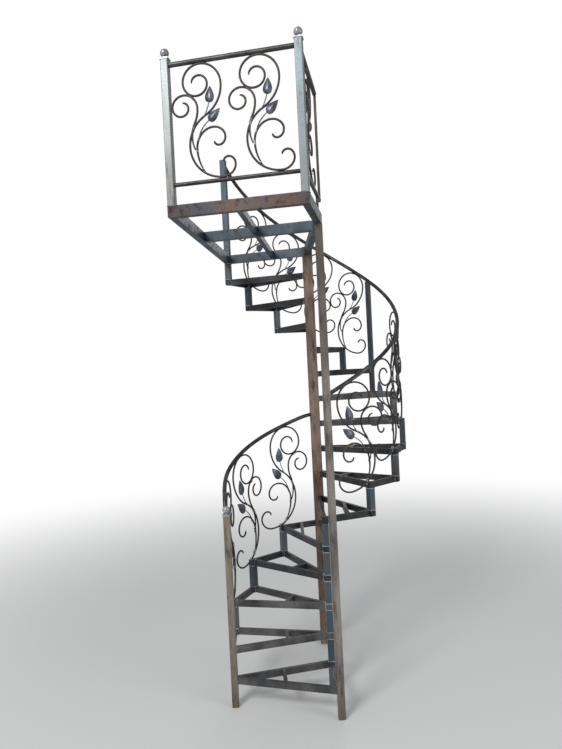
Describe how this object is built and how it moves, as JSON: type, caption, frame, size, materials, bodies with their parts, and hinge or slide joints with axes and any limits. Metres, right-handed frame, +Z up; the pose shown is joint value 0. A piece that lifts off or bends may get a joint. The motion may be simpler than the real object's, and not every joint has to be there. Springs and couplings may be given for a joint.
{
  "type": "spiral staircase",
  "caption": "Bare steel spiral staircase frame with open tube treads, an S-shaped plan, scrollwork railings and a small railed landing at the top",
  "frame": {"origin": "centre of the main column's foot on the floor", "axes": "+Z up along the main column, +X to the right and +Y away from the viewer in the picture, so the landing lies towards -Y"},
  "size_m": [1.4212, 2.1136, 3.69],
  "materials": {
    "column": "bare steel tube, rust brown all over",
    "front_post": "bare steel tube, grey with a violet heat tint and dark edges",
    "newel_steel": "bare steel tube, pale blue-grey with light rust",
    "ball_steel": "bright bare steel collar and ball",
    "post_steel": "bare steel tube, blue-grey mill scale with rust spots",
    "tread_steel": "dark blue-black mill scale, worn at the edges",
    "beam_steel": "blue-grey mill scale with rust spots",
    "beam_rust": "mill scale mostly turned to brown rust",
    "rail_steel": "dark bare tube, slightly worn",
    "scroll_iron": "dark brown bare iron bar"
  },
  "bodies": {
    "root": {"core_posts": "post_steel", "front_post": "front_post", "landing_back_beam": "beam_steel", "landing_front_beam": "beam_rust", "landing_front_panel": "scroll_iron", "landing_joists": "beam_steel", "landing_left_beam": "beam_steel", "landing_middle_beam": "beam_steel", "landing_newel_left": "newel_steel", "landing_newel_right": "newel_steel", "landing_right_back_beam": "beam_steel", "landing_right_front_beam": "beam_steel", "landing_side_bars": "scroll_iron", "landing_side_panel": "scroll_iron", "lower_handrail": "rail_steel", "lower_newel": "newel_steel", "lower_riser_posts": "post_steel", "lower_scroll_1": "scroll_iron", "lower_scroll_2": "scroll_iron", "lower_scroll_3": "scroll_iron", "main_column": "column", "newel_finials": "ball_steel", "rear_newel": "post_steel", "tread_01": "tread_steel", "tread_02": "tread_steel", "tread_03": "tread_steel", "tread_04": "tread_steel", "tread_05": "tread_steel", "tread_06": "tread_steel", "tread_07": "tread_steel", "tread_08": "tread_steel", "tread_09": "tread_steel", "tread_10": "tread_steel", "tread_11": "tread_steel", "tread_12": "tread_steel", "tread_13": "tread_steel", "tread_14": "tread_steel", "tread_15": "tread_steel", "upper_handrail": "rail_steel", "upper_rail_post": "post_steel", "upper_riser_posts": "post_steel", "upper_scroll_1": "scroll_iron", "upper_scroll_2": "scroll_iron", "upper_scroll_3": "scroll_iron", "upper_scroll_4": "scroll_iron", "upper_scroll_5": "scroll_iron", "upper_scroll_6": "scroll_iron", "upper_scroll_7": "scroll_iron", "upper_scroll_8": "scroll_iron"}
  },
  "joints": []
}
